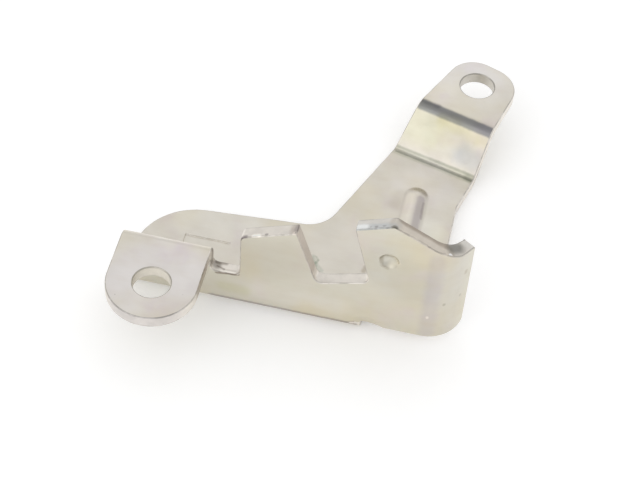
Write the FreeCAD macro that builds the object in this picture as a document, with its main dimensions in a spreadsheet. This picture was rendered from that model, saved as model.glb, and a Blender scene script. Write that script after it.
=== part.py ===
import FreeCAD, Part
import Sketcher
import math
import os
import re

# Cable mounting bracket: one piece of plated sheet steel, cut, pierced and folded.
# A base plate lies flat. Its front edge is folded up into a wall with a leaning cable slot.
# The wall's left end folds forward into a low ear, its right end curls back, and an arm
# runs back from the plate over a joggle to a high ear.
# Millimetres. Origin: axis of the low ear's hole, at that ear's underside.
# +X along the wall to the right, +Y back over the plate, +Z up, away from the plate.

# Driving sizes. Heights are above the underside of the plate unless a name says otherwise,
# "across" is X from the low hole's axis, and "depth" is Y behind the front face of the wall.
SIZES = {
    "thickness": 2.5,
    "bend_radius": 0.3,
    "hole_diameter": 7.0,
    # Low ear
    "low_ear_width": 17.0,
    "low_ear_reach": 9.7,
    "low_ear_tip": 8.25,
    "low_ear_rise": 12.0,
    # Plate
    "plate_depth": 19.55,
    "plate_right": 50.3,
    "rear_slope": 4.7,
    "rear_corner_radius": 12.3,
    "crotch_across": 25.8,
    "crotch_radius": 6.5,
    "plate_corner_radius": 2.0,
    # Arm, joggle and high ear, laid out from the high hole along the arm
    "high_hole_across": 49.2,
    "high_hole_depth": 60.3,
    "arm_angle": 14.8,
    "arm_right": 7.9,
    "arm_left": 9.8,
    "high_ear_tip": 6.6,
    "high_ear_right": 7.65,
    "high_ear_left": 5.6,
    "high_ear_skew": 4.9,
    "high_ear_right_radius": 6.2,
    "high_ear_left_radius": 5.5,
    "joggle_start": 18.1,
    "joggle_rise": 7.7,
    "joggle_angle": 45.0,
    "joggle_radius": 1.2,
    # Wall
    "notch_right": 14.0,
    "notch_floor": 9.2,
    "notch_radius": 1.2,
    "shoulder_height": 20.1,
    "shoulder_radius": 1.2,
    "peak_across": 41.5,
    "peak_height": 31.4,
    "peak_radius": 0.8,
    "tip_height": 24.9,
    "foot_height": 2.5,
    # Fold's end, back from the start of the curl, and the round hollow in the wall's foot there,
    # whose centre is to the right of the fold's end, in front of the wall and above the underside
    "fold_from_curl": 11.3,
    "hollow_across": 0.9,
    "hollow_front": 9.0,
    "hollow_height": 1.3,
    "hollow_radius": 9.7,
    # Cable slot
    "slot_across": 33.35,
    "slot_floor": 13.2,
    "slot_width": 10.2,
    "slot_tilt": 18.5,
    "slot_flare": 4.0,
    "slot_radius": 1.5,
    # Curled end of the wall
    "curl_from_peak": 7.3,
    "curl_radius": 7.0,
    "curl_angle": 57.0,
    "curl_flat": 2.2,
    "curl_foot_radius": 2.0,
    "curl_tip_radius": 0.5,
    # Rib pressed up in the plate, in from the plate's right edge
    "rib_from_right": 8.3,
    "rib_near": 14.0,
    "rib_far": 34.0,
    "rib_half_width": 2.25,
    "rib_height": 1.0,
    "rib_foot_radius": 1.2,
    "rib_groove_half_width": 1.3,
    "rib_groove_depth": 0.9,
    # Dimple pressed into the wall
    "dimple_across": 41.3,
    "dimple_height": 22.0,
    "dimple_radius": 1.9,
    "dimple_depth": 1.0,
    "dimple_bump_radius": 2.4,
    "dimple_bump_height": 0.7,
    # Coined recess in the plate
    "coin_left": 0.3,
    "coin_right": 9.3,
    "coin_near": 10.55,
    "coin_far": 12.9,
    "coin_depth": 0.3,
}

# Places worked out from the driving sizes, as formulas on the sheet's names. MARGIN is how far
# a cut's outline runs past the metal, and ROOT how far a pressed form reaches into the sheet.
OUTER = "(thickness + bend_radius)"
LEFT = "(low_ear_width / 2)"
WALL = "low_ear_reach"
BASE = "(-low_ear_rise)"
CURL = "(peak_across + curl_from_peak)"
FOLD_END = f"({CURL} - fold_from_curl)"
RIB = "(plate_right - rib_from_right)"
MARGIN = "2"
ROOT = "0.5"


def make_sheet(doc):
    """Put the driving sizes into the document's spreadsheet."""
    sheet = doc.addObject("Spreadsheet::Sheet", "Sizes")
    for row, (name, value) in enumerate(SIZES.items(), start=1):
        sheet.set(f"A{row}", name)
        sheet.set(f"B{row}", str(value))
        sheet.setAlias(f"B{row}", name)
    doc.recompute()
    return sheet


def formula(text):
    """Point every size named in a formula at its cell."""
    def cell(word):
        return "Sizes." + word[0] if word[0] in SIZES else word[0]
    return re.sub(r"[a-z_]+", cell, text)


def value_of(sheet, text):
    """Work out a formula's present value."""
    return float(sheet.evalExpression(formula(text)))


def origin_plane(body, role):
    """Return one of the body's own origin planes."""
    return next(plane for plane in body.Origin.OriginFeatures if plane.Role == role)


def add_sketch(body, name, role, offset=("0", "0", "0"), turn=None):
    """Add a sketch on an origin plane, moved and turned in that plane's own axes."""
    sheet = body.Document.Sizes
    sketch = body.newObject("Sketcher::SketchObject", name)
    sketch.AttachmentSupport = [(origin_plane(body, role), "")]
    sketch.MapMode = "FlatFace"
    base = FreeCAD.Vector(*(value_of(sheet, part) for part in offset))
    rotation = FreeCAD.Rotation()
    if turn:
        axis, angle = turn
        rotation = FreeCAD.Rotation(FreeCAD.Vector(*axis), value_of(sheet, angle))
    sketch.AttachmentOffset = FreeCAD.Placement(base, rotation)
    for part, text in zip("xyz", offset):
        sketch.setExpression(f"AttachmentOffset.Base.{part}", formula(text))
    if turn:
        sketch.setExpression("AttachmentOffset.Rotation.Angle", formula(f"{angle} * 1 deg"))
    return sketch


def arc_through(start, end, radius, side):
    """Arc of a given radius between two points; side +1 has its centre to the left of the way."""
    chord = end - start
    half = chord.Length / 2
    height = math.sqrt(max(radius * radius - half * half, 0.0))
    normal = FreeCAD.Vector(-chord.y, chord.x, 0).normalize()
    centre = start + chord / 2 + normal * height * side
    first = math.atan2(start.y - centre.y, start.x - centre.x)
    last = math.atan2(end.y - centre.y, end.x - centre.x)
    circle = Part.Circle(centre, FreeCAD.Vector(0, 0, 1), radius)
    if side > 0:
        return Part.ArcOfCircle(circle, first, last)
    return Part.ArcOfCircle(circle, last, first)


def hold(sketch, kind, items, value, text):
    """Add a dimension to a sketch and drive it by a formula."""
    number = sketch.addConstraint(Sketcher.Constraint(kind, *items, value))
    sketch.setExpression(f"Constraints[{number}]", formula(text))


def draw_outline(sketch, corners):
    """Draw a closed outline. A corner is (x, y) or, where an arc leads on from it,
    (x, y, radius, side). Every corner and radius is held by a formula."""
    sheet = sketch.Document.Sizes
    points = [FreeCAD.Vector(*(value_of(sheet, text) for text in corner[:2])) for corner in corners]
    starts = []
    ends = []
    for index, corner in enumerate(corners):
        start = points[index]
        end = points[(index + 1) % len(points)]
        if len(corner) == 2:
            geometry = sketch.addGeometry(Part.LineSegment(start, end), False)
            starts.append((geometry, 1))
            ends.append((geometry, 2))
            continue
        radius = value_of(sheet, corner[2])
        side = corner[3]
        geometry = sketch.addGeometry(arc_through(start, end, radius, side), False)
        starts.append((geometry, 1 if side > 0 else 2))
        ends.append((geometry, 2 if side > 0 else 1))
    for index, (geometry, end) in enumerate(ends):
        following = starts[(index + 1) % len(starts)]
        sketch.addConstraint(Sketcher.Constraint("Coincident", geometry, end, *following))
    for corner, point, (geometry, end) in zip(corners, points, starts):
        hold(sketch, "DistanceX", (-1, 1, geometry, end), point.x, corner[0])
        hold(sketch, "DistanceY", (-1, 1, geometry, end), point.y, corner[1])
        if len(corner) > 2:
            hold(sketch, "Radius", (geometry,), value_of(sheet, corner[2]), corner[2])
    return sketch


def draw_circle(sketch, x, y, radius):
    """Draw a circle whose centre and radius are held by formulas."""
    sheet = sketch.Document.Sizes
    centre = FreeCAD.Vector(value_of(sheet, x), value_of(sheet, y), 0)
    size = value_of(sheet, radius)
    circle = sketch.addGeometry(Part.Circle(centre, FreeCAD.Vector(0, 0, 1), size), False)
    hold(sketch, "DistanceX", (-1, 1, circle, 3), centre.x, x)
    hold(sketch, "DistanceY", (-1, 1, circle, 3), centre.y, y)
    hold(sketch, "Radius", (circle,), size, radius)
    return sketch


def add_pad(sketch, name, length, reversed_way=False, symmetric=False):
    """Thicken a sketch into solid."""
    body = sketch.getParentGeoFeatureGroup()
    pad = body.newObject("PartDesign::Pad", name)
    pad.Profile = sketch
    pad.SideType = "Symmetric" if symmetric else "One side"
    pad.Reversed = reversed_way
    pad.setExpression("Length", formula(length))
    pad.Refine = True
    body.Document.recompute()
    return pad


def add_pocket(sketch, name, length, reversed_way=False, symmetric=False):
    """Cut a sketch out of the solid, and make sure that it has taken something away."""
    body = sketch.getParentGeoFeatureGroup()
    before = body.Shape.Volume
    pocket = body.newObject("PartDesign::Pocket", name)
    pocket.Profile = sketch
    pocket.SideType = "Symmetric" if symmetric else "One side"
    pocket.Reversed = reversed_way
    pocket.setExpression("Length", formula(length))
    pocket.Refine = True
    body.Document.recompute()
    if not pocket.Shape.Volume < before:
        raise RuntimeError(f"{name} cuts nothing")
    return pocket


def turned(sketch, kind, name):
    """Turn a sketch once about its own upright axis. A groove has to take something away."""
    body = sketch.getParentGeoFeatureGroup()
    before = body.Shape.Volume
    feature = body.newObject("PartDesign::" + kind, name)
    feature.Profile = sketch
    feature.ReferenceAxis = (sketch, ["V_Axis"])
    feature.Angle = 360
    feature.Refine = True
    body.Document.recompute()
    if kind == "Groove" and not feature.Shape.Volume < before:
        raise RuntimeError(f"{name} cuts nothing")
    return feature


def round_edges(body, name, edges, radius):
    """Round the edges that run between the given pairs of places, each three formulas."""
    sheet = body.Document.Sizes
    wanted = [[FreeCAD.Vector(*(value_of(sheet, text) for text in place)) for place in edge]
              for edge in edges]
    names = []
    for number, edge in enumerate(body.Shape.Edges, start=1):
        ends = [vertex.Point for vertex in edge.Vertexes]
        for pair in wanted:
            matched = [min(end.distanceToPoint(place) for end in ends) for place in pair]
            if len(ends) == 2 and max(matched) < 0.02:
                names.append(f"Edge{number}")
    if len(names) != len(edges):
        raise RuntimeError(f"{name}: found {len(names)} of {len(edges)} edges")
    base = body.Tip
    fillet = body.newObject("PartDesign::Fillet", name)
    fillet.Base = (base, names)
    fillet.setExpression("Radius", formula(radius))
    fillet.Refine = True
    body.Document.recompute()
    return fillet


def through_plate(x, y):
    """Ends of an upright edge through the plate."""
    return (x, y, BASE), (x, y, f"{BASE} + thickness")


def through_wall(x, z):
    """Ends of an edge that runs through the wall from its front face to its back."""
    return (x, WALL, z), (x, f"{WALL} + thickness", z)


# Points of the arm, in plan, from the high hole: "on" is along the arm, "off" is to its right
ARM_SIN = "sin(arm_angle * 1 deg)"
ARM_COS = "cos(arm_angle * 1 deg)"


def arm_point(on, off):
    """Plan position of a point that is given along and across the arm."""
    x = f"high_hole_across + ({on}) * {ARM_SIN} + ({off}) * {ARM_COS}"
    y = f"{WALL} + high_hole_depth + ({on}) * {ARM_COS} - ({off}) * {ARM_SIN}"
    return x, y


def rear_edge(across):
    """Plan position of the plate's rear edge at some distance across."""
    return across, f"{WALL} + plate_depth + ({across}) * tan(rear_slope * 1 deg)"


def plate(body):
    """Flat plate, up to the fold of the wall in front and the foot of the joggle behind."""
    front = f"{WALL} + {OUTER}"
    root_right = arm_point("-joggle_start", "arm_right")
    side_y = f"{root_right[1]} - ({root_right[0]} - plate_right) / tan(arm_angle * 1 deg)"
    sketch = add_sketch(body, "PlateOutline", "XY_Plane", ("0", "0", BASE))
    draw_outline(sketch, [
        (f"-{LEFT}", front),
        ("plate_right", front),
        ("plate_right", side_y),
        root_right,
        arm_point("-joggle_start", "-arm_left"),
        rear_edge("crotch_across"),
        rear_edge(f"-{LEFT}"),
    ])
    add_pad(sketch, "Plate", "thickness")
    round_edges(body, "RearCorner", [through_plate(*rear_edge(f"-{LEFT}"))], "rear_corner_radius")
    round_edges(body, "Crotch", [through_plate(*rear_edge("crotch_across"))], "crotch_radius")
    round_edges(body, "PlateCorner", [through_plate("plate_right", front)], "plate_corner_radius")


def joggled_arm(body):
    """Strip that steps up over the joggle to the level of the high ear."""
    sine = "sin(joggle_angle * 1 deg)"
    cosine = "cos(joggle_angle * 1 deg)"
    inner = "joggle_radius"
    outer = "(joggle_radius + thickness)"
    slope = f"((joggle_rise - ({inner} + {outer}) * (1 - {cosine})) / {sine})"
    start = "(-joggle_start)"
    end = f"(high_ear_tip + high_ear_left * tan(high_ear_skew * 1 deg) + {MARGIN})"
    top = f"({BASE} + thickness)"
    low_x = f"({start} + {outer} * {sine})"
    low_z = f"({BASE} + {outer} * (1 - {cosine}))"
    top_x = f"({start} + {inner} * {sine})"
    top_z = f"({top} + {inner} * (1 - {cosine}))"
    level_x = f"({start} + ({inner} + {outer}) * {sine} + {slope} * {cosine})"
    blank = f"2 * (arm_left + {MARGIN})"
    offset = (f"{WALL} + high_hole_depth", "0", "high_hole_across")
    sketch = add_sketch(body, "ArmSection", "YZ_Plane", offset, ((0, -1, 0), "arm_angle"))
    draw_outline(sketch, [
        (start, BASE, outer, 1),
        (low_x, low_z),
        (f"{low_x} + {slope} * {cosine}", f"{low_z} + {slope} * {sine}", inner, -1),
        (level_x, f"{BASE} + joggle_rise"),
        (end, f"{BASE} + joggle_rise"),
        (end, f"{top} + joggle_rise"),
        (level_x, f"{top} + joggle_rise", outer, 1),
        (f"{top_x} + {slope} * {cosine}", f"{top_z} + {slope} * {sine}"),
        (top_x, top_z, inner, -1),
        (start, top),
    ])
    add_pad(sketch, "Arm", blank, symmetric=True)


def trim_arm(body):
    """Cut the strip to the arm's outline: two sides that draw together towards the ear, and
    an end that is cut a little askew, with two wide round corners."""
    skew = "tan(high_ear_skew * 1 deg)"
    right = ("high_ear_right", f"(high_ear_tip - high_ear_right * {skew})")
    left = ("-high_ear_left", f"(high_ear_tip + high_ear_left * {skew})")
    side = f"(arm_left + 2 * {MARGIN})"
    beyond = f"{left[1]} + 2 * {MARGIN}"
    offset = ("high_hole_across", f"{WALL} + high_hole_depth", BASE)
    sketch = add_sketch(body, "ArmOutline", "XY_Plane", offset, ((0, 0, -1), "arm_angle"))
    draw_outline(sketch, [
        (f"-{side}", "-joggle_start"),
        ("-arm_left", "-joggle_start"),
        left,
        right,
        ("arm_right", "-joggle_start"),
        (side, "-joggle_start"),
        (side, beyond),
        (f"-{side}", beyond),
    ])
    add_pocket(sketch, "ArmTrim", f"joggle_rise + thickness + {MARGIN}", reversed_way=True)
    for name, (off, on), radius in (
        ("EarRightCorner", right, "high_ear_right_radius"),
        ("EarLeftCorner", left, "high_ear_left_radius"),
    ):
        x, y = arm_point(on, off)
        lower = (x, y, f"{BASE} + joggle_rise")
        upper = (x, y, f"{BASE} + joggle_rise + thickness")
        round_edges(body, name, [(lower, upper)], radius)


def wall(body):
    """Wall with its fold from the plate: short under the low ear, then a notch, then a long
    sloping top edge that rises to the peak. Past the fold's end it stands free of the plate,
    and it stops where the curl begins."""
    fold = add_sketch(body, "FoldSection", "YZ_Plane", ("0", "0", f"-{LEFT}"))
    draw_outline(fold, [
        (f"{WALL} + {OUTER}", BASE, OUTER, -1),
        (WALL, f"{BASE} + {OUTER}"),
        (f"{WALL} + thickness", f"{BASE} + {OUTER}", "bend_radius", 1),
        (f"{WALL} + {OUTER}", f"{BASE} + thickness"),
    ])
    add_pad(fold, "Fold", f"{LEFT} + {FOLD_END}")
    sketch = add_sketch(body, "WallOutline", "XZ_Plane", ("0", "0", f"-{WALL}"))
    draw_outline(sketch, [
        (f"-{LEFT}", f"{BASE} + {OUTER}"),
        (FOLD_END, f"{BASE} + {OUTER}"),
        (FOLD_END, f"{BASE} + foot_height"),
        (CURL, f"{BASE} + foot_height"),
        (CURL, f"{BASE} + peak_height"),
        ("peak_across", f"{BASE} + peak_height"),
        ("notch_right", f"{BASE} + shoulder_height"),
        ("notch_right", f"{BASE} + notch_floor"),
        (LEFT, f"{BASE} + notch_floor"),
        (LEFT, "-bend_radius"),
        (f"-{LEFT}", "-bend_radius"),
    ])
    add_pad(sketch, "Wall", "thickness", reversed_way=True)


def fold_hollow(body):
    """Round hollow in the front of the wall's foot, where the fold runs out into the flat wall."""
    place = (f"{FOLD_END} + hollow_across", f"{WALL} - hollow_front", f"{BASE} + hollow_height")
    sketch = add_sketch(body, "HollowSection", "XY_Plane", place)
    draw_outline(sketch, [
        ("0", "-hollow_radius", "hollow_radius", 1),
        ("hollow_radius", "0", "hollow_radius", 1),
        ("0", "hollow_radius"),
    ])
    turned(sketch, "Groove", "FoldHollow")


def low_ear(body):
    """Ear folded forward from the wall's left end, with a round tip."""
    fold = add_sketch(body, "EarFoldSection", "YZ_Plane")
    draw_outline(fold, [
        (WALL, "-bend_radius"),
        (f"{WALL} + thickness", "-bend_radius", OUTER, 1),
        (f"{WALL} - bend_radius", "thickness"),
        (f"{WALL} - bend_radius", "0", "bend_radius", -1),
    ])
    add_pad(fold, "EarFold", "low_ear_width", symmetric=True)
    tip_centre = f"({LEFT} - low_ear_tip)"
    sketch = add_sketch(body, "EarOutline", "XY_Plane")
    draw_outline(sketch, [
        (LEFT, f"{WALL} - bend_radius"),
        (f"-{LEFT}", f"{WALL} - bend_radius"),
        (f"-{LEFT}", tip_centre, LEFT, 1),
        ("0", "-low_ear_tip", LEFT, 1),
        (LEFT, tip_centre),
    ])
    add_pad(sketch, "Ear", "thickness")


def curl(body):
    """Right end of the wall, rolled back round a large radius to a short flat lip."""
    sine = "sin(curl_angle * 1 deg)"
    cosine = "cos(curl_angle * 1 deg)"
    inner = "(curl_radius - thickness)"
    front_x = f"({CURL} + curl_radius * {sine})"
    front_y = f"({WALL} + curl_radius * (1 - {cosine}))"
    back_x = f"({CURL} + {inner} * {sine})"
    back_y = f"({WALL} + curl_radius - {inner} * {cosine})"
    lip_front = (f"({front_x} + curl_flat * {cosine})", f"{front_y} + curl_flat * {sine}")
    lip_back = (f"({back_x} + curl_flat * {cosine})", f"{back_y} + curl_flat * {sine}")
    sketch = add_sketch(body, "CurlSection", "XY_Plane", ("0", "0", f"{BASE} + foot_height"))
    draw_outline(sketch, [
        (CURL, WALL, "curl_radius", 1),
        (front_x, front_y),
        lip_front,
        lip_back,
        (back_x, back_y, inner, -1),
        (CURL, f"{WALL} + thickness"),
    ])
    add_pad(sketch, "Curl", "peak_height - foot_height")
    trim = add_sketch(body, "TopTrim", "XZ_Plane", ("0", "0", f"-{WALL} + {MARGIN}"))
    draw_outline(trim, [
        ("peak_across", f"{BASE} + peak_height"),
        (lip_back[0], f"{BASE} + tip_height"),
        (f"{lip_front[0]} + {MARGIN}", f"{BASE} + tip_height"),
        (f"{lip_front[0]} + {MARGIN}", f"{BASE} + peak_height + {MARGIN}"),
        ("peak_across", f"{BASE} + peak_height + {MARGIN}"),
    ])
    add_pocket(trim, "TopCut", f"2 * curl_radius + curl_flat + {MARGIN}")
    foot = f"{BASE} + foot_height"
    tip = f"{BASE} + tip_height"
    round_edges(body, "CurlFoot", [((*lip_front, foot), (*lip_back, foot))], "curl_foot_radius")
    round_edges(body, "CurlTip", [((*lip_front, tip), (*lip_back, tip))], "curl_tip_radius")


def cable_slot(body):
    """Leaning slot that opens through the wall's sloping top edge and is a little wider there."""
    sine = "sin(slot_tilt * 1 deg)"
    cosine = "cos(slot_tilt * 1 deg)"
    right_lean = "((slot_tilt - slot_flare) * 1 deg)"
    half = "slot_width / 2"
    depth = "(peak_height - slot_floor + slot_width)"
    foot_z = f"({BASE} + slot_floor)"
    left = (f"slot_across - {half} * {cosine}", f"{foot_z} - {half} * {sine}")
    right = (f"slot_across + {half} * {cosine}", f"{foot_z} + {half} * {sine}")
    sketch = add_sketch(body, "SlotOutline", "XZ_Plane", ("0", "0", f"-{WALL}"))
    draw_outline(sketch, [
        left,
        right,
        (f"{right[0]} - {depth} * sin({right_lean})", f"{right[1]} + {depth} * cos({right_lean})"),
        (f"{left[0]} - {depth} * {sine}", f"{left[1]} + {depth} * {cosine}"),
    ])
    add_pocket(sketch, "Slot", "thickness")
    round_edges(body, "SlotCorners", [through_wall(*left), through_wall(*right)], "slot_radius")


def wall_corners(body):
    """Round the corners that the tool leaves in the wall's outline."""
    notch = f"{BASE} + notch_floor"
    notch_corners = [through_wall(LEFT, notch), through_wall("notch_right", notch)]
    round_edges(body, "NotchCorners", notch_corners, "notch_radius")
    shoulder = through_wall("notch_right", f"{BASE} + shoulder_height")
    round_edges(body, "Shoulder", [shoulder], "shoulder_radius")
    round_edges(body, "Peak", [through_wall("peak_across", f"{BASE} + peak_height")], "peak_radius")


def cap_radius(half_width, height):
    """Radius of the circle that rises to a height over a half width."""
    return f"(({half_width} ^ 2 + {height} ^ 2) / (2 * {height}))"


def draw_cap(sketch, half_width, level, height):
    """Draw a round-topped section that stands on a level and reaches a little below it."""
    radius = cap_radius(half_width, height)
    below = f"{level} - {ROOT}"
    return draw_outline(sketch, [
        (f"-{half_width}", below),
        (half_width, below),
        (half_width, level, radius, 1),
        (f"-{half_width}", level),
    ])


def draw_half_cap(sketch, half_width, level, height):
    """Draw the right half of such a section, to be turned about the sketch's upright axis."""
    radius = cap_radius(half_width, height)
    below = f"{level} - {ROOT}"
    return draw_outline(sketch, [
        ("0", below),
        (half_width, below),
        (half_width, level, radius, 1),
        ("0", f"{level} + {height}"),
    ])


def rib(body):
    """Round-topped rib with round ends, pressed up in the plate, and its groove underneath."""
    near = f"-({WALL} + rib_near)"
    far = f"-({WALL} + rib_far)"
    top = f"{BASE} + thickness"
    section = add_sketch(body, "RibSection", "XZ_Plane", (RIB, "0", near))
    draw_cap(section, "rib_half_width", top, "rib_height")
    add_pad(section, "Rib", "rib_far - rib_near", reversed_way=True)
    for name, place in (("RibNearEnd", near), ("RibFarEnd", far)):
        end = add_sketch(body, name + "Section", "XZ_Plane", (RIB, "0", place))
        draw_half_cap(end, "rib_half_width", top, "rib_height")
        turned(end, "Revolution", name)
    sides = [(f"{RIB} {sign} rib_half_width", sign) for sign in "-+"]
    corners = [[(x, f"-({place})", top) for place in (near, far)] for x, sign in sides]
    (near_left, far_left), (near_right, far_right) = corners
    foot = [(near_left, far_left), (near_right, far_right), (near_left, near_right), (far_left, far_right)]
    round_edges(body, "RibFoot", foot, "rib_foot_radius")
    section = add_sketch(body, "RibGrooveSection", "XZ_Plane", (RIB, "0", near))
    draw_cap(section, "rib_groove_half_width", BASE, "rib_groove_depth")
    add_pocket(section, "RibGroove", "rib_far - rib_near")
    for name, place in (("GrooveNearEnd", near), ("GrooveFarEnd", far)):
        end = add_sketch(body, name + "Section", "XZ_Plane", (RIB, "0", place))
        draw_half_cap(end, "rib_groove_half_width", BASE, "rib_groove_depth")
        turned(end, "Groove", name)


def dimple(body):
    """Dimple pressed into the wall's front face, and the low bump that it raises behind."""
    place = ("dimple_across", WALL, f"{BASE} + dimple_height")
    bump = add_sketch(body, "DimpleBumpSection", "XY_Plane", place)
    draw_half_cap(bump, "dimple_bump_radius", "thickness", "dimple_bump_height")
    turned(bump, "Revolution", "DimpleBump")
    cup = add_sketch(body, "DimpleSection", "XY_Plane", place)
    draw_half_cap(cup, "dimple_radius", "0", "dimple_depth")
    turned(cup, "Groove", "Dimple")


def coined_recess(body):
    """Shallow rectangular recess struck into the top of the plate."""
    near = f"{WALL} + coin_near"
    far = f"{WALL} + coin_far"
    sketch = add_sketch(body, "CoinOutline", "XY_Plane", ("0", "0", f"{BASE} + thickness"))
    draw_outline(sketch, [
        ("coin_left", near),
        ("coin_right", near),
        ("coin_right", far),
        ("coin_left", far),
    ])
    add_pocket(sketch, "CoinedRecess", "coin_depth")


def holes(body):
    """Bolt holes through the two ears."""
    low = add_sketch(body, "LowHoleCircle", "XY_Plane")
    draw_circle(low, "0", "0", "hole_diameter / 2")
    add_pocket(low, "LowHole", "thickness", reversed_way=True)
    high = add_sketch(body, "HighHoleCircle", "XY_Plane", ("0", "0", f"{BASE} + joggle_rise"))
    draw_circle(high, *arm_point("0", "0"), "hole_diameter / 2")
    add_pocket(high, "HighHole", "thickness", reversed_way=True)


def build(doc):
    """Build the whole bracket as one body."""
    make_sheet(doc)
    body = doc.addObject("PartDesign::Body", "Bracket")
    body.Label = "bracket"
    joggled_arm(body)
    trim_arm(body)
    plate(body)
    wall(body)
    fold_hollow(body)
    low_ear(body)
    curl(body)
    cable_slot(body)
    wall_corners(body)
    rib(body)
    dimple(body)
    coined_recess(body)
    holes(body)
    doc.recompute()
    return body


def check(doc, body):
    """Stop unless every object is sound and the bracket is one valid solid."""
    for item in doc.Objects:
        if "Invalid" in item.State or "Error" in item.State:
            raise RuntimeError(f"{item.Name} has failed")
    shape = body.Shape
    if shape.isNull() or not shape.isValid() or len(shape.Solids) != 1:
        raise RuntimeError("the bracket isn't one valid solid")


document = FreeCAD.newDocument("cable_bracket")
bracket = build(document)
check(document, bracket)
os.makedirs("parts", exist_ok=True)
bracket.Shape.exportStep(os.path.join("parts", bracket.Label + ".step"))
print("volume", round(bracket.Shape.Volume, 1), "box", bracket.Shape.BoundBox)
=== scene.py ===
import math
from collections import namedtuple

import bpy
import bmesh
from bpy.props import FloatProperty, FloatVectorProperty, IntProperty, PointerProperty
from mathutils import Matrix, Vector
from mathutils.bvhtree import BVHTree


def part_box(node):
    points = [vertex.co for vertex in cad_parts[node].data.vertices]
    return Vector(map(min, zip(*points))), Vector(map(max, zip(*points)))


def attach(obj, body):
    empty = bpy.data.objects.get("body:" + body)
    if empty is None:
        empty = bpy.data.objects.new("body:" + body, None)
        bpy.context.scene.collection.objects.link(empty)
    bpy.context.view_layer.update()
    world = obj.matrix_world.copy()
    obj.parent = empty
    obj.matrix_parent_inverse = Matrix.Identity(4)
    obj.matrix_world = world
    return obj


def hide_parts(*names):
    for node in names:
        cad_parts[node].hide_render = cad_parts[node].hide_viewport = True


bl_info = {
    "name": "Cable mounting bracket",
    "version": (1, 0, 0),
    "blender": (4, 5, 0),
    "location": "3D View > Sidebar > Bracket",
    "description": "Finishes a folded, zinc plated cable bracket and sets it on a studio floor",
    "category": "Object",
}

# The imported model, in metres. One piece of folded sheet: its two sides, the cut edges between
# them and the rounding that tumbling and plating leave on every corner each have a finish.
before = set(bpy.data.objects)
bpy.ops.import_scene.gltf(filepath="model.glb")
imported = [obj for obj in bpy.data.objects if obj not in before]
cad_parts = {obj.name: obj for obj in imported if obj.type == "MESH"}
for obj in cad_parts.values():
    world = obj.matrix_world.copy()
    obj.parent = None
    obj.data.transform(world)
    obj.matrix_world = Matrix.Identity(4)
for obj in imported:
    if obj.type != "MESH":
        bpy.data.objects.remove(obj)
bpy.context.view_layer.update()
NODE = "bracket"
LOW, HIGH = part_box(NODE)
MM = 0.001
UP = Vector((0, 0, 1))

# Material slots of the finished sheet
INNER, OUTER, CUT, ROUND = range(4)

# Telling the sides from the cut edges: the most metal behind a face of a side and behind one of
# a pressed patch, in thicknesses; the greatest product of two normals that face apart; and how
# far under a face the search for its far side starts
THIN, PRESSED, OPPOSITE = 2.0, 1.3, -0.9
NUDGE = 0.01 * MM

# Points that are one, in the CAD mesh and where roundings meet; the least turn between faces that
# are not one flat; the least turn that stays a hard edge
MERGED, MERGED_ROUNDING = 0.002 * MM, 0.004 * MM
FLAT_ANGLE, HARD_ANGLE = math.radians(0.3), math.radians(50)

# How far a rounded corner may lie from the sheared edge and off the skin, in roundings; and how
# much the large faces lead the shading of the corners, of 100
REACH_OF_ROUNDING, OFF_THE_SKIN = 1.3, 0.6
FACE_WEIGHT = 100

# Sockets of a Mix node
COLOUR_A, COLOUR_B, COLOUR_RESULT = 6, 7, 2
NUMBER_A, NUMBER_B, NUMBER_RESULT = 2, 3, 0

# How fine the patterns are, in lumps per metre
WARM_CLOUDS, COOL_CLOUDS, GLOSS_CLOUDS = 70, 110, 240
GRAIN_LINES, GRAIN_WAVES, STREAKS = 4200, 420, 420
RAGGED_BORDER, RUBBED_PATCHES = 620, 380
SHEAR_CLOUDS, SHEAR_LINE, SHEAR_GRIT = 420, 520, 800

# Tints and strengths of the plating's film and flaws
WARM_INNER, COOL_INNER = (0.72, 0.66, 0.5), (0.7, 0.62, 0.62)
WARM_OUTER, COOL_OUTER = (0.68, 0.61, 0.44), (0.68, 0.61, 0.58)
STREAK_TINT, PIT_COLOUR = (0.90, 0.86, 0.80), (0.2, 0.18, 0.14)
SHEAR_LINE_COLOUR, SPECK_COLOUR = (0.22, 0.19, 0.17), (0.25, 0.22, 0.2)
FILM_STRENGTH, STREAK_STRENGTH, PIT_STRENGTH = 0.6, 0.22, 0.45
SHEAR_LINE_STRENGTH, SPECK_STRENGTH = 0.55, 0.5
SHEAR_DARKENING, CORNER_DULLING = 0.9, 0.72

# Dark flecks and painted bright glints on the sheared edge: spacing, size, share, strength and colour
FLECKS_AND_GLINTS = (
    (760.0, 0.42, 0.45, 0.6, (0.2, 0.17, 0.17)),
    (620.0, 0.42, 0.4, 0.85, (1.0, 1.0, 1.0)),
)

# Lamps, placed from the middle of the bracket; the white floor; and the heights of the directions
# in which the darker patch overhead starts and is full
KEY_PLACE, KEY_SIZE = Vector((-0.35, -0.45, 0.45)), 0.7
BACK_PLACE, BACK_SIZE = Vector((-0.05, 0.5, 0.55)), 0.5
FLOOR_COLOUR, FLOOR_ROUGHNESS, FLOOR_GLOW = (0.93, 0.93, 0.93, 1), 0.9, 0.17
WHITE = (1, 1, 1, 1)
PATCH_STARTS, PATCH_FULL = 0.86, 0.97
SENSOR_WIDTH = 36

Patterns = namedtuple("Patterns", "film dots grain mark")


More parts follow.
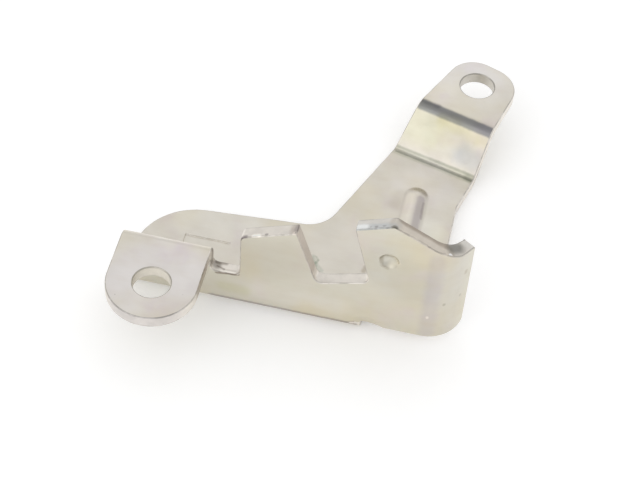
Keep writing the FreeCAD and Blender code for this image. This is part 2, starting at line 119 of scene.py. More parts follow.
class BracketSheet(bpy.types.PropertyGroup):
    """Sizes of the finished sheet."""
    thickness: FloatProperty(name="Thickness", description="Thickness of the sheet",
                             default=2.5 * MM, unit="LENGTH", precision=5)
    edge_round: FloatProperty(name="Edge rounding",
                              description="How far the corners of the sheet are rounded",
                              default=0.2 * MM, unit="LENGTH", precision=5)
    round_segments: IntProperty(name="Rounding segments", description="Facets across a rounded corner",
                                default=2, min=1, max=6)
    smooth_angle: FloatProperty(name="Smooth angle",
                                description="Largest turn between two faces of one side",
                                default=math.radians(58), subtype="ANGLE")
    corner_angle: FloatProperty(name="Corner angle",
                                description="Least turn between sheared faces that is rounded",
                                default=math.radians(30), subtype="ANGLE")


class BracketFinish(bpy.types.PropertyGroup):
    """Colours and gloss of the plating."""
    inner_colour: FloatVectorProperty(name="Inner side",
                                      description="Plating on the plate's top and the ears",
                                      default=(0.742, 0.703, 0.628), subtype="COLOR", min=0, max=1)
    outer_colour: FloatVectorProperty(name="Outer side",
                                      description="Plating on the wall's front, with its yellow film",
                                      default=(0.675, 0.645, 0.555), subtype="COLOR", min=0, max=1)
    cut_colour: FloatVectorProperty(name="Cut edge", description="Plating on the sheared edges",
                                    default=(0.89, 0.84, 0.77), subtype="COLOR", min=0, max=1)
    round_colour: FloatVectorProperty(name="Rounded corner", description="Bright plating on the corners",
                                      default=(0.78, 0.74, 0.68), subtype="COLOR", min=0, max=1)
    face_roughness: FloatProperty(name="Face roughness", description="Roughness of the sheet's two sides",
                                  default=0.34, min=0, max=1, subtype="FACTOR")
    cut_roughness: FloatProperty(name="Cut roughness", description="Roughness of the sheared edges",
                                 default=0.42, min=0, max=1, subtype="FACTOR")


class BracketStage(bpy.types.PropertyGroup):
    """Camera, lamps and floor."""
    eye: FloatVectorProperty(name="Camera place", description="Where the photograph was taken from",
                             default=(58.67 * MM, -196.5 * MM, 257.95 * MM), subtype="XYZ", unit="LENGTH")
    azimuth: FloatProperty(name="Azimuth", description="Turn of the camera about the upright axis",
                           default=math.radians(8.323), subtype="ANGLE")
    elevation: FloatProperty(name="Elevation", description="How steeply the camera looks down",
                             default=math.radians(49.724), subtype="ANGLE")
    roll: FloatProperty(name="Roll", description="Turn of the camera about its own line of sight",
                        default=math.radians(5.176), subtype="ANGLE")
    lens: FloatProperty(name="Lens", description="Focal length in millimetres on a 36 mm sensor",
                        default=101.617, min=1)
    floor_size: FloatProperty(name="Floor size", description="Side of the square floor",
                              default=4.0, unit="LENGTH")
    ambient: FloatProperty(name="Ambient", description="Light from all round", default=0.9, min=0)
    mirrored: FloatProperty(name="Mirrored white", description="Level of the white that the metal mirrors",
                            default=0.78, min=0)
    overhead: FloatProperty(name="Mirrored overhead", description="Level of the darker patch straight above",
                            default=0.5, min=0)
    key: FloatProperty(name="Key lamp", description="Power of the large lamp in front on the left, in watts",
                       default=0.6, min=0)
    back: FloatProperty(name="Back lamp", description="Power of the large lamp behind, in watts",
                        default=0.1, min=0)


def add_node(tree, kind, **values):
    """Add a shader node and set its own properties."""
    node = tree.nodes.new(kind)
    for name, value in values.items():
        setattr(node, name, value)
    return node


def feed(tree, socket, value):
    """Link another socket to this one, or set it."""
    if isinstance(value, bpy.types.NodeSocket):
        tree.links.new(value, socket)
    else:
        socket.default_value = value


def maths(tree, operation, first, second=None, clamp=False):
    """Add a Math node and return its result."""
    node = add_node(tree, "ShaderNodeMath", operation=operation, use_clamp=clamp)
    feed(tree, node.inputs[0], first)
    if second is not None:
        feed(tree, node.inputs[1], second)
    return node.outputs[0]


def vector_maths(tree, operation, first, second=None, factor=None):
    """Add a Vector Math node; returns its vector, or its number for a length or a product."""
    node = add_node(tree, "ShaderNodeVectorMath", operation=operation)
    feed(tree, node.inputs[0], first)
    if second is not None:
        feed(tree, node.inputs[1], second)
    if factor is not None:
        feed(tree, node.inputs["Scale"], factor)
    return node.outputs["Value" if operation in ("LENGTH", "DOT_PRODUCT") else "Vector"]


def ramp(tree, value, low, high, start=0.0, end=1.0):
    """Map a value from low..high to start..end, smoothly and held at both ends."""
    node = add_node(tree, "ShaderNodeMapRange", interpolation_type="SMOOTHSTEP")
    feed(tree, node.inputs["Value"], value)
    feed(tree, node.inputs["From Min"], low)
    feed(tree, node.inputs["From Max"], high)
    feed(tree, node.inputs["To Min"], start)
    feed(tree, node.inputs["To Max"], end)
    return node.outputs["Result"]


def mixed(tree, factor, first, second, blend="MIX"):
    """Mix two colours."""
    node = add_node(tree, "ShaderNodeMix", data_type="RGBA", blend_type=blend)
    feed(tree, node.inputs["Factor"], factor)
    feed(tree, node.inputs[COLOUR_A], first)
    feed(tree, node.inputs[COLOUR_B], second)
    return node.outputs[COLOUR_RESULT]


def mixed_numbers(tree, factor, first, second):
    """Mix two numbers."""
    node = add_node(tree, "ShaderNodeMix", data_type="FLOAT")
    feed(tree, node.inputs["Factor"], factor)
    feed(tree, node.inputs[NUMBER_A], first)
    feed(tree, node.inputs[NUMBER_B], second)
    return node.outputs[NUMBER_RESULT]


def own_place(tree):
    """The piece's own coordinates."""
    return add_node(tree, "ShaderNodeTexCoord").outputs["Object"]


def noise(tree, vector, scale, detail=2.0, rough=0.5):
    """Noise from 0 to 1 at a scale given in lumps per metre."""
    node = add_node(tree, "ShaderNodeTexNoise")
    feed(tree, node.inputs["Vector"], vector)
    feed(tree, node.inputs["Scale"], scale)
    feed(tree, node.inputs["Detail"], detail)
    feed(tree, node.inputs["Roughness"], rough)
    return node.outputs["Fac"]


def stretched(tree, vector, scale):
    """The same coordinates stretched along the three axes."""
    node = add_node(tree, "ShaderNodeMapping")
    feed(tree, node.inputs["Vector"], vector)
    node.inputs["Scale"].default_value = scale
    return node.outputs["Vector"]


def new_group(name, inputs, outputs):
    """Start a node group with named sockets. Each is (name, kind, default) or (name, kind)."""
    group = bpy.data.node_groups.new(name, "ShaderNodeTree")
    for title, kind, default in inputs:
        socket = group.interface.new_socket(name=title, in_out="INPUT", socket_type=kind)
        socket.default_value = default
    for title, kind in outputs:
        group.interface.new_socket(name=title, in_out="OUTPUT", socket_type=kind)
    return group, add_node(group, "NodeGroupInput"), add_node(group, "NodeGroupOutput")


def cloudy_film():
    """Group: the plating's uneven film, in soft clouds of two tints, and its mottled gloss."""
    group, given, result = new_group("Cloudy film", [
        ("Colour", "NodeSocketColor", (0.7, 0.7, 0.7, 1)),
        ("Warm", "NodeSocketColor", (0.75, 0.68, 0.5, 1)),
        ("Cool", "NodeSocketColor", (0.7, 0.66, 0.7, 1)),
        ("Strength", "NodeSocketFloat", 0.5),
        ("Roughness", "NodeSocketFloat", 0.35),
    ], [("Colour", "NodeSocketColor"), ("Roughness", "NodeSocketFloat")])
    place = own_place(group)
    warm = ramp(group, noise(group, place, WARM_CLOUDS, detail=3), low=0.42, high=0.72)
    squeezed = stretched(group, place, (1.2, 1.0, 1.0))
    cool = ramp(group, noise(group, squeezed, COOL_CLOUDS, detail=3), low=0.5, high=0.78)
    colour = mixed(group, maths(group, "MULTIPLY", warm, given.outputs["Strength"]),
                   given.outputs["Colour"], given.outputs["Warm"])
    colour = mixed(group, maths(group, "MULTIPLY", cool, given.outputs["Strength"]),
                   colour, given.outputs["Cool"])
    group.links.new(colour, result.inputs["Colour"])
    mottled = noise(group, place, GLOSS_CLOUDS, detail=4, rough=0.6)
    cloud = ramp(group, mottled, low=0.3, high=0.7, start=-0.05, end=0.06)
    group.links.new(maths(group, "ADD", given.outputs["Roughness"], cloud), result.inputs["Roughness"])
    return group


def pits():
    """Group: sparse dark pits and specks, as a mask of 0 to 1."""
    group, given, result = new_group("Pits", [
        ("Spacing", "NodeSocketFloat", 200.0),
        ("Size", "NodeSocketFloat", 0.1),
        ("Share", "NodeSocketFloat", 0.2),
    ], [("Mask", "NodeSocketFloat")])
    place = own_place(group)
    cells = add_node(group, "ShaderNodeTexVoronoi")
    feed(group, cells.inputs["Vector"], place)
    feed(group, cells.inputs["Scale"], given.outputs["Spacing"])
    chosen = add_node(group, "ShaderNodeSeparateColor")
    group.links.new(cells.outputs["Color"], chosen.inputs[0])
    picked = maths(group, "LESS_THAN", chosen.outputs[0], given.outputs["Share"])
    variety = ramp(group, chosen.outputs[1], low=0, high=1, start=0.4, end=1.0)
    size = maths(group, "MULTIPLY", given.outputs["Size"], variety)
    half = maths(group, "MULTIPLY", size, 0.5)
    core = ramp(group, cells.outputs["Distance"], low=half, high=size, start=1.0, end=0.0)
    group.links.new(maths(group, "MULTIPLY", core, picked), result.inputs["Mask"])
    return group


def rolling_grain():
    """Group: fine lines along the sheet and a faint unevenness, as a height."""
    group, given, result = new_group("Rolling grain", [
        ("Lines", "NodeSocketFloat", 0.5),
        ("Waves", "NodeSocketFloat", 0.5),
    ], [("Height", "NodeSocketFloat")])
    place = own_place(group)
    lines = noise(group, stretched(group, place, (0.08, 1.0, 1.0)), GRAIN_LINES)
    waves = noise(group, place, GRAIN_WAVES)
    total = maths(group, "ADD", maths(group, "MULTIPLY", lines, given.outputs["Lines"]),
                  maths(group, "MULTIPLY", waves, given.outputs["Waves"]))
    group.links.new(total, result.inputs["Height"])
    return group


def stroke():
    """Group: a soft mark along the straight line between two points, with an uneven border."""
    group, given, result = new_group("Stroke", [
        ("Start", "NodeSocketVector", (0, 0, 0)),
        ("End", "NodeSocketVector", (0, 0, 1)),
        ("Reach", "NodeSocketFloat", 1 * MM),
        ("Softness", "NodeSocketFloat", 0.3 * MM),
        ("Unevenness", "NodeSocketFloat", 0.3 * MM),
    ], [("Mask", "NodeSocketFloat")])
    place = own_place(group)
    start, end = given.outputs["Start"], given.outputs["End"]
    line = vector_maths(group, "SUBTRACT", end, start)
    away = vector_maths(group, "SUBTRACT", place, start)
    share = maths(group, "DIVIDE", vector_maths(group, "DOT_PRODUCT", away, line),
                  vector_maths(group, "DOT_PRODUCT", line, line), clamp=True)
    nearest = vector_maths(group, "SCALE", line, factor=share)
    distance = vector_maths(group, "LENGTH", vector_maths(group, "SUBTRACT", away, nearest))
    ragged = maths(group, "SUBTRACT", noise(group, place, RAGGED_BORDER, detail=3, rough=0.6), 0.5)
    distance = maths(group, "ADD", distance, maths(group, "MULTIPLY", ragged, given.outputs["Unevenness"]))
    low = maths(group, "SUBTRACT", given.outputs["Reach"], given.outputs["Softness"])
    high = maths(group, "ADD", given.outputs["Reach"], given.outputs["Softness"])
    mask = ramp(group, distance, low=low, high=high, start=1.0, end=0.0)
    group.links.new(mask, result.inputs["Mask"])
    return group


def placed_group(tree, group, **values):
    """Place a shared group in a material with its own values."""
    node = add_node(tree, "ShaderNodeGroup", node_tree=group)
    for name, value in values.items():
        feed(tree, node.inputs[name], value)
    return node


def new_metal(name, roughness):
    """Start a metal material; returns it, its tree and its shader."""
    material = bpy.data.materials.new(name)
    material.use_nodes = True
    tree = material.node_tree
    shader = tree.nodes["Principled BSDF"]
    shader.inputs["Metallic"].default_value = 1.0
    shader.inputs["Roughness"].default_value = roughness
    return material, tree, shader


def bumped(tree, height, strength, distance):
    """Turn a height into a normal."""
    node = add_node(tree, "ShaderNodeBump")
    node.inputs["Strength"].default_value = strength
    node.inputs["Distance"].default_value = distance
    tree.links.new(height, node.inputs["Height"])
    return node.outputs["Normal"]


def opaque(colour):
    """A colour with full alpha."""
    return (*colour, 1.0)


def millimetres(point):
    """A point given in millimetres, in metres."""
    return tuple(part * MM for part in point)


def marked(tree, group, colour, marks):
    """Lay a list of marks, painted shade and painted highlights over a colour. Each is (start, end, reach,
    softness, unevenness, strength, tint), with lengths in millimetres; the tint multiplies what is below it."""
    for start, end, reach, softness, uneven, strength, tint in marks:
        mark = placed_group(tree, group, Start=millimetres(start), End=millimetres(end), Reach=reach * MM,
                            Softness=softness * MM, Unevenness=uneven * MM)
        share = maths(tree, "MULTIPLY", mark.outputs["Mask"], strength)
        colour = mixed(tree, share, colour, opaque(tint), "MULTIPLY")
    return colour


# Marks on the inner side, with painted shade and painted light among them, each a row as marked() takes it
INNER_MARKS_AND_PAINTED_LIGHT = [
    # Painted dark reflection in the joggle's upper bend, weaker at its left end
    ((39.0, 62.3, -2.2), (54.3, 57.9, -2.2), 1.15, 0.3, 0.3, 0.95, (0.43, 0.46, 0.54)),
    ((39.0, 63.1, -1.9), (42.5, 62.2, -1.9), 0.5, 0.35, 0.4, 0.7, (0.62, 0.62, 0.62)),
    # Painted shade in the lower bend: a green-grey band, its two dark borders and its right end
    ((35.6, 55.2, -9.3), (52.3, 50.9, -9.3), 0.95, 0.35, 0.3, 0.8, (0.80, 0.83, 0.79)),
    ((35.8, 54.9, -9.45), (52.1, 50.7, -9.45), 0.2, 0.15, 0.3, 0.75, (0.50, 0.52, 0.50)),
    ((35.8, 55.8, -8.85), (52.3, 51.6, -8.85), 0.25, 0.25, 0.3, 0.75, (0.60, 0.63, 0.60)),
    ((51.0, 51.3, -9.3), (52.5, 50.8, -9.3), 0.7, 0.4, 0.4, 0.7, (0.62, 0.64, 0.62)),
    # Yellow and blue film on the slope between the bends
    ((37.5, 59.5, -5.2), (41.5, 58.0, -5.2), 3.6, 2.0, 2.0, 0.75, (1.0, 1.02, 0.88)),
    ((43.0, 58.5, -5.0), (48.0, 56.5, -6.0), 3.0, 1.5, 1.5, 0.8, (0.90, 0.91, 0.90)),
    ((44.0, 60.2, -3.6), (53.0, 57.0, -4.0), 1.2, 1.0, 1.2, 0.55, (0.95, 0.94, 0.72)),
    ((49.5, 54.3, -6.6), (51.5, 53.6, -6.6), 2.2, 1.4, 1.4, 0.8, (0.82, 0.86, 0.98)),
    # Painted light: paler patches on the high ear, the low ear and the plate
    ((46.5, 68.0, -1.8), (49.2, 73.0, -1.8), 6.0, 3.5, 1.0, 1.0, (1.08, 1.10, 1.18)),
    ((41.5, 65.5, -1.8), (43.0, 72.0, -1.8), 2.6, 2.0, 1.0, 0.8, (1.07, 1.07, 1.09)),
    ((-2.0, -1.0, 2.5), (2.0, 3.0, 2.5), 8.0, 3.5, 1.0, 1.0, (1.07, 1.08, 1.17)),
    ((41.0, 46.0, -9.5), (45.0, 48.0, -9.5), 4.5, 2.5, 1.0, 1.0, (1.04, 1.04, 1.08)),
    ((46.5, 26.0, -9.5), (46.5, 36.0, -9.5), 2.4, 1.2, 0.6, 1.0, (1.08, 1.10, 1.10)),
    ((2.0, 28.0, -9.5), (10.0, 28.0, -9.5), 5.0, 3.0, 1.0, 1.0, (1.03, 1.04, 1.05)),
    # The rib's painted light and shade: painted shade on its grey right flank, a painted highlight on its
    # top, a dark line of painted shade at its right foot and painted shade by its far end
    ((43.1, 24.0, -8.8), (43.1, 42.6, -8.8), 0.85, 0.4, 0.4, 0.9, (0.76, 0.74, 0.80)),
    ((40.6, 24.0, -8.9), (40.8, 43.0, -8.9), 0.9, 0.5, 0.3, 0.9, (1.21, 1.21, 1.19)),
    ((43.9, 38.0, -9.2), (43.7, 42.0, -9.2), 0.3, 0.2, 0.3, 0.8, (0.72, 0.69, 0.72)),
    ((38.4, 41.0, -9.5), (38.8, 43.5, -9.5), 1.3, 0.9, 0.6, 0.7, (0.88, 0.87, 0.84)),
    # Smudges on the plate behind the slot and to its right
    ((25.4, 23.2, -9.5), (26.2, 20.5, -9.5), 0.55, 0.4, 1.2, 0.75, (0.66, 0.72, 0.67)),
    ((26.2, 20.5, -9.5), (28.2, 18.8, -9.5), 0.6, 0.5, 1.2, 0.7, (0.74, 0.80, 0.78)),
    ((35.6, 22.3, -9.5), (35.8, 23.3, -9.5), 0.45, 0.35, 0.5, 0.7, (0.66, 0.62, 0.55)),
    # Paler step of the struck recess
    ((0.4, 22.6, -9.7), (9.3, 22.6, -9.7), 0.15, 0.15, 0.4, 0.6, (1.30, 1.36, 1.52)),
    # Thin dark loop behind the slot's foot
    ((26.1, 23.4, -9.5), (26.6, 22.7, -9.5), 0.2, 0.15, 0.4, 0.75, (0.74, 0.78, 0.74)),
    ((26.6, 22.7, -9.5), (26.3, 21.9, -9.5), 0.2, 0.15, 0.4, 0.75, (0.74, 0.78, 0.74)),
    ((26.3, 21.9, -9.5), (27.9, 20.4, -9.5), 0.28, 0.25, 0.5, 0.75, (0.78, 0.83, 0.81)),
]

# Marks on the outer side, with painted shade and painted light among them
OUTER_MARKS_AND_PAINTED_LIGHT = [
    # Painted shade: greyer bands where the curl starts and turns away
    ((49.9, 9.9, -8.0), (49.9, 9.9, 12.5), 1.5, 0.9, 0.8, 0.75, (0.88, 0.87, 0.99)),
    ((53.5, 11.5, -8.0), (53.5, 11.5, 12.0), 2.2, 1.4, 0.8, 0.7, (0.93, 0.93, 0.97)),
    # Pits in the curl and a bright speck beside it
    ((52.25, 10.62, -0.14), (52.25, 10.62, 0.0), 0.26, 0.2, 0.25, 0.6, (0.62, 0.60, 0.55)),
    ((54.73, 12.98, 0.73), (54.73, 12.98, 0.9), 0.24, 0.2, 0.25, 0.6, (0.66, 0.66, 0.62)),
    ((55.0, 13.4, 6.8), (55.0, 13.4, 7.3), 0.36, 0.25, 0.3, 0.55, (0.72, 0.66, 0.58)),
    ((49.63, 9.75, -3.81), (49.63, 9.75, -3.6), 0.24, 0.15, 0.2, 0.9, (1.30, 1.30, 1.30)),
    # The dimple's painted shade on the left and below, and painted light on the right
    ((39.9, 10.1, 8.5), (39.9, 10.1, 10.2), 0.38, 0.25, 0.4, 0.7, (0.64, 0.61, 0.56)),
    ((40.3, 9.8, 8.3), (41.2, 9.8, 7.9), 0.28, 0.2, 0.4, 0.6, (0.74, 0.71, 0.66)),
    ((41.2, 10.15, 11.1), (43.0, 10.15, 10.0), 0.48, 0.3, 0.3, 0.8, (1.28, 1.27, 1.26)),
    ((41.5, 10.3, 8.4), (42.9, 10.0, 9.6), 0.5, 0.35, 0.4, 0.8, (1.13, 1.12, 1.10)),
    # Painted shade: a dark line under the fold
    ((9.0, 10.1, -10.6), (36.0, 10.1, -10.6), 0.85, 0.4, 0.3, 0.9, (0.52, 0.48, 0.54)),
    # Uneven film on the wall
    ((13.0, 9.7, 3.0), (23.0, 9.7, 5.0), 5.0, 3.0, 1.0, 0.9, (0.90, 0.89, 0.88)),
    ((39.5, 9.7, 9.0), (46.0, 9.7, 5.0), 5.0, 3.0, 1.0, 0.9, (0.91, 0.92, 0.95)),
    ((18.0, 9.7, -6.0), (33.0, 9.7, -6.0), 2.4, 1.6, 1.0, 0.9, (1.07, 1.07, 1.10)),
    # Torn front of the notch and the yellow stain below it
    ((9.6, 9.8, -3.2), (13.8, 9.8, -2.5), 0.26, 0.15, 0.5, 0.85, (0.42, 0.37, 0.34)),
    ((11.0, 9.7, -6.6), (15.0, 9.7, -6.9), 1.2, 1.0, 1.0, 0.5, (0.90, 0.91, 0.74)),
]


def side_material(name, colour, warm, cool, marks, patterns, finish):
    """Satin plating on one side of the sheet."""
    material, tree, shader = new_metal(name, finish.face_roughness)
    coat = placed_group(tree, patterns.film, Colour=opaque(colour), Warm=opaque(warm),
                        Cool=opaque(cool), Strength=FILM_STRENGTH, Roughness=finish.face_roughness)
    specks = placed_group(tree, patterns.dots, Spacing=170.0, Size=0.055, Share=0.16)
    dark = maths(tree, "MULTIPLY", specks.outputs["Mask"], PIT_STRENGTH)
    place = own_place(tree)
    drawn_out = noise(tree, stretched(tree, place, (0.4, 1.0, 1.0)), STREAKS, detail=3, rough=0.6)
    streaks = ramp(tree, drawn_out, low=0.4, high=0.7, start=0.0, end=STREAK_STRENGTH)
    base = mixed(tree, streaks, coat.outputs["Colour"], opaque(STREAK_TINT), "MULTIPLY")
    base = mixed(tree, dark, base, opaque(PIT_COLOUR))
    base = marked(tree, patterns.mark, base, marks)
    tree.links.new(base, shader.inputs["Base Color"])
    tree.links.new(coat.outputs["Roughness"], shader.inputs["Roughness"])
    height = placed_group(tree, patterns.grain, Lines=0.25, Waves=1.0).outputs["Height"]
    height = maths(tree, "SUBTRACT", height, specks.outputs["Mask"])
    normal = bumped(tree, height, strength=0.35, distance=0.03 * MM)
    tree.links.new(normal, shader.inputs["Normal"])
    return material


# Marks on the sheared edges and their corners, with painted shade and painted highlights among them
CUT_MARKS_AND_PAINTED_LIGHT = [
    # Top of the high tooth: blue-grey, with a painted highlight and a dark peak
    ((34.5, 11.0, 16.7), (41.0, 11.0, 19.2), 1.7, 0.3, 0.4, 0.9, (0.93, 0.95, 0.97)),
    ((35.3, 10.3, 16.9), (41.3, 10.0, 19.2), 0.8, 0.4, 0.5, 0.9, (0.86, 0.91, 0.97)),
    ((34.9, 10.4, 16.8), (36.3, 10.4, 17.2), 0.55, 0.35, 0.6, 1.0, (1.35, 1.35, 1.35)),
    ((41.3, 9.9, 19.2), (41.7, 9.9, 19.2), 0.33, 0.25, 0.4, 0.85, (0.44, 0.42, 0.38)),
    # Top of the low tooth: dark at both ends, with painted highlights
    ((24.0, 10.9, 12.3), (24.3, 11.8, 12.2), 0.5, 0.3, 0.4, 0.6, (0.60, 0.58, 0.62)),
    ((23.7, 9.9, 12.1), (23.9, 9.9, 12.1), 0.35, 0.2, 0.4, 1.0, (1.3, 1.3, 1.3)),
    ((14.2, 9.9, 8.0), (14.9, 9.9, 8.4), 0.4, 0.3, 0.5, 0.85, (0.42, 0.38, 0.42)),
    ((16.5, 9.9, 9.1), (17.3, 9.9, 9.4), 0.45, 0.3, 0.6, 1.0, (1.35, 1.35, 1.35)),
    # Long slope: brown along its back, duller all over
    ((42.5, 12.2, 18.8), (50.5, 12.2, 14.4), 0.8, 0.4, 0.5, 0.85, (0.58, 0.54, 0.51)),
    ((42.0, 10.9, 19.0), (51.0, 10.9, 14.3), 1.6, 0.5, 0.6, 0.9, (0.87, 0.84, 0.80)),
    # Lip of the curl: painted shade in its hollow, paler at its end
    ((51.8, 12.3, 13.9), (53.0, 13.3, 13.3), 1.1, 0.8, 0.8, 0.95, (0.38, 0.39, 0.39)),
    ((54.6, 15.5, 12.8), (55.9, 18.5, 12.0), 1.6, 0.8, 0.6, 0.8, (0.92, 0.95, 0.98)),
    # Painted shade on the notch's left side and in its back corner
    ((8.6, 11.2, 1.6), (9.4, 11.2, -2.6), 0.9, 0.4, 0.6, 0.8, (0.42, 0.40, 0.38)),
    ((9.3, 11.8, -2.6), (11.0, 11.9, -2.9), 0.4, 0.3, 0.6, 0.8, (0.42, 0.39, 0.36)),
    # Brown left flank of the slot
    ((24.4, 10.9, 12.0), (27.2, 10.9, 3.4), 1.6, 0.5, 0.6, 0.8, (0.70, 0.66, 0.64)),
    # Low ear: brown right side, blue-grey front
    ((8.5, 5.5, 1.4), (8.5, 1.5, 1.4), 1.7, 0.8, 0.5, 0.8, (0.60, 0.56, 0.53)),
    ((-3.0, -8.0, 1.2), (4.0, -8.0, 1.2), 4.5, 2.5, 0.5, 0.8, (0.76, 0.76, 0.80)),
    # Floor of the notch: a dark streak of painted shade, a thin line, a bright front and its torn border
    ((9.5, 11.0, -2.8), (10.9, 10.5, -2.8), 0.17, 0.15, 0.25, 0.8, (0.50, 0.47, 0.45)),
    ((10.9, 10.5, -2.8), (13.2, 10.6, -2.8), 0.13, 0.12, 0.2, 0.6, (0.72, 0.70, 0.68)),
    ((10.5, 10.0, -2.8), (13.2, 10.0, -2.8), 0.2, 0.15, 0.4, 0.9, (1.20, 1.20, 1.20)),
    ((10.2, 9.7, -3.05), (13.5, 9.7, -2.9), 0.2, 0.12, 0.35, 0.9, (0.42, 0.37, 0.34)),
    # Painted shade on the walls of the two bolt holes
    ((0.0, 0.0, 0.0), (0.0, 0.0, 2.3), 4.0, 0.4, 0.3, 0.9, (0.84, 0.84, 0.81)),
    ((49.2, 70.0, -4.3), (49.2, 70.0, -2.0), 4.0, 0.4, 0.3, 0.9, (0.76, 0.77, 0.77)),
]


def cut_material(name, patterns, finish):
    """Sheared edge: light plating over the cut, with broken dark lines along both sides and
    dark flecks and painted bright glints along the outer one."""
    material, tree, shader = new_metal(name, finish.cut_roughness)
    place = own_place(tree)
    across = add_node(tree, "ShaderNodeAttribute", attribute_name="across").outputs["Fac"]
    cloud = ramp(tree, noise(tree, place, SHEAR_CLOUDS, detail=3, rough=0.55), low=0.35, high=0.7)
    darker = tuple(part * SHEAR_DARKENING for part in finish.cut_colour)
    base = mixed(tree, cloud, opaque(darker), opaque(finish.cut_colour))
    base = marked(tree, patterns.mark, base, CUT_MARKS_AND_PAINTED_LIGHT)
    broken = ramp(tree, noise(tree, place, SHEAR_LINE, detail=3, rough=0.6), low=0.45, high=0.58)
    front = ramp(tree, across, low=0.86, high=0.97)
    back = ramp(tree, across, low=0.03, high=0.16, start=1.0, end=0.0)
    line = maths(tree, "MULTIPLY", maths(tree, "MAXIMUM", front, back), broken)
    line = maths(tree, "MULTIPLY", line, SHEAR_LINE_STRENGTH)
    base = mixed(tree, line, base, opaque(SHEAR_LINE_COLOUR))
    fringe = ramp(tree, across, low=0.62, high=0.85)
    for spacing, size, share, strength, tint in FLECKS_AND_GLINTS:
        flecks = placed_group(tree, patterns.dots, Spacing=spacing, Size=size, Share=share).outputs["Mask"]
        flecks = maths(tree, "MULTIPLY", maths(tree, "MULTIPLY", flecks, fringe), strength)
        base = mixed(tree, flecks, base, opaque(tint))
    tree.links.new(base, shader.inputs["Base Color"])
    grit = noise(tree, place, SHEAR_GRIT, detail=3, rough=0.6)
    tree.links.new(bumped(tree, grit, strength=0.5, distance=0.06 * MM), shader.inputs["Normal"])
    return material


def round_material(name, patterns, finish):
    """Corner between a side and a cut edge: rubbed bright in places, dark in others."""
    material, tree, shader = new_metal(name, finish.face_roughness)
    place = own_place(tree)
    rubbed = ramp(tree, noise(tree, place, RUBBED_PATCHES, detail=3, rough=0.6), low=0.4, high=0.66)
    dull = tuple(part * CORNER_DULLING for part in finish.inner_colour)
    base = mixed(tree, rubbed, opaque(dull), opaque(finish.round_colour))
    specks = placed_group(tree, patterns.dots, Spacing=500.0, Size=0.3, Share=0.2)
    dark = maths(tree, "MULTIPLY", specks.outputs["Mask"], SPECK_STRENGTH)
    base = mixed(tree, dark, base, opaque(SPECK_COLOUR))
    base = marked(tree, patterns.mark, base, CUT_MARKS_AND_PAINTED_LIGHT)
    tree.links.new(base, shader.inputs["Base Color"])
    return material


def plating(finish):
    """The sheet's four materials, in the order of its slots."""
    patterns = Patterns(cloudy_film(), pits(), rolling_grain(), stroke())
    inner = side_material("Plated inner side", finish.inner_colour, WARM_INNER, COOL_INNER,
                          INNER_MARKS_AND_PAINTED_LIGHT, patterns, finish)
    outer = side_material("Plated outer side", finish.outer_colour, WARM_OUTER, COOL_OUTER,
                          OUTER_MARKS_AND_PAINTED_LIGHT, patterns, finish)
    cut = cut_material("Sheared edge", patterns, finish)
    corner = round_material("Rubbed corner", patterns, finish)
    return [inner, outer, cut, corner]


def behind(mesh, tree, face):
    """The depth of metal behind a face, and the face on its far side."""
    start = face.calc_center_median() - face.normal * NUDGE
    hit, _, index, distance = tree.ray_cast(start, -face.normal)
    return (distance, mesh.faces[index]) if hit else (math.inf, face)


def spread(first, kind, depths, sheet):
    """Give a face's kind to every face that is reached from it without turning a corner and
    has little metal behind it."""
    least = math.cos(sheet.smooth_angle)
    first.material_index = kind
    waiting = [first]
    while waiting:
        face = waiting.pop()
        for edge in face.edges:
            for other in edge.link_faces:
                thin = depths[other.index] < THIN * sheet.thickness
                if thin and other.material_index == CUT and other.normal.dot(face.normal) > least:
                    other.material_index = kind
                    waiting.append(other)


def join_steps(mesh):
    """Give the low steps round a pressed patch, which border one side only, to that side."""
    seen = set()
    for first in mesh.faces:
        if first.material_index != CUT or first.index in seen:
            continue
        region, borders, waiting = [], set(), [first]
        seen.add(first.index)
        while waiting:
            face = waiting.pop()
            region.append(face)
            for other in (other for edge in face.edges for other in edge.link_faces):
                if other.material_index != CUT:
                    borders.add(other.material_index)
                elif other.index not in seen:
                    seen.add(other.index)
                    waiting.append(other)
        if len(borders) == 1:
            for face in region:
                face.material_index = min(borders)


def sort_faces(mesh, sheet):
    """Tell the sheet's inner side, outer side and cut edges apart. Each side is one smooth skin;
    a pressed patch is set off from it by a low step and lies one thickness from the far side."""
    mesh.faces.ensure_lookup_table()
    tree = BVHTree.FromBMesh(mesh)
    metal = [behind(mesh, tree, face) for face in mesh.faces]
    depths = [depth for depth, _ in metal]
    for face in mesh.faces:
        face.material_index = CUT
    top = max(mesh.faces, key=lambda face: face.normal.dot(UP) * face.calc_area())
    spread(top, INNER, depths, sheet)
    spread(metal[top.index][1], OUTER, depths, sheet)
    for face in mesh.faces:
        depth, far = metal[face.index]
        faces_away = far.normal.dot(face.normal) < OPPOSITE and depth < PRESSED * sheet.thickness
        if face.material_index == CUT and far.material_index != CUT and faces_away:
            spread(face, INNER if far.material_index == OUTER else OUTER, depths, sheet)
    join_steps(mesh)


def select_only(piece):
    """Make one object the only one selected, and the active one."""
    bpy.ops.object.select_all(action="DESELECT")
    piece.select_set(True)
    bpy.context.view_layer.objects.active = piece


def copy_of_node(name):
    """Copy a CAD node's mesh into a new object, merged into one closed skin."""
    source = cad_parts[NODE]
    piece = bpy.data.objects.new(name, source.data.copy())
    bpy.context.scene.collection.objects.link(piece)
    piece.data.materials.clear()
    select_only(piece)
    bpy.ops.object.mode_set(mode="EDIT")
    bpy.ops.mesh.customdata_custom_splitnormals_clear()
    bpy.ops.mesh.select_all(action="SELECT")
    bpy.ops.mesh.remove_doubles(threshold=MERGED)
    bpy.ops.object.mode_set(mode="OBJECT")
    return piece


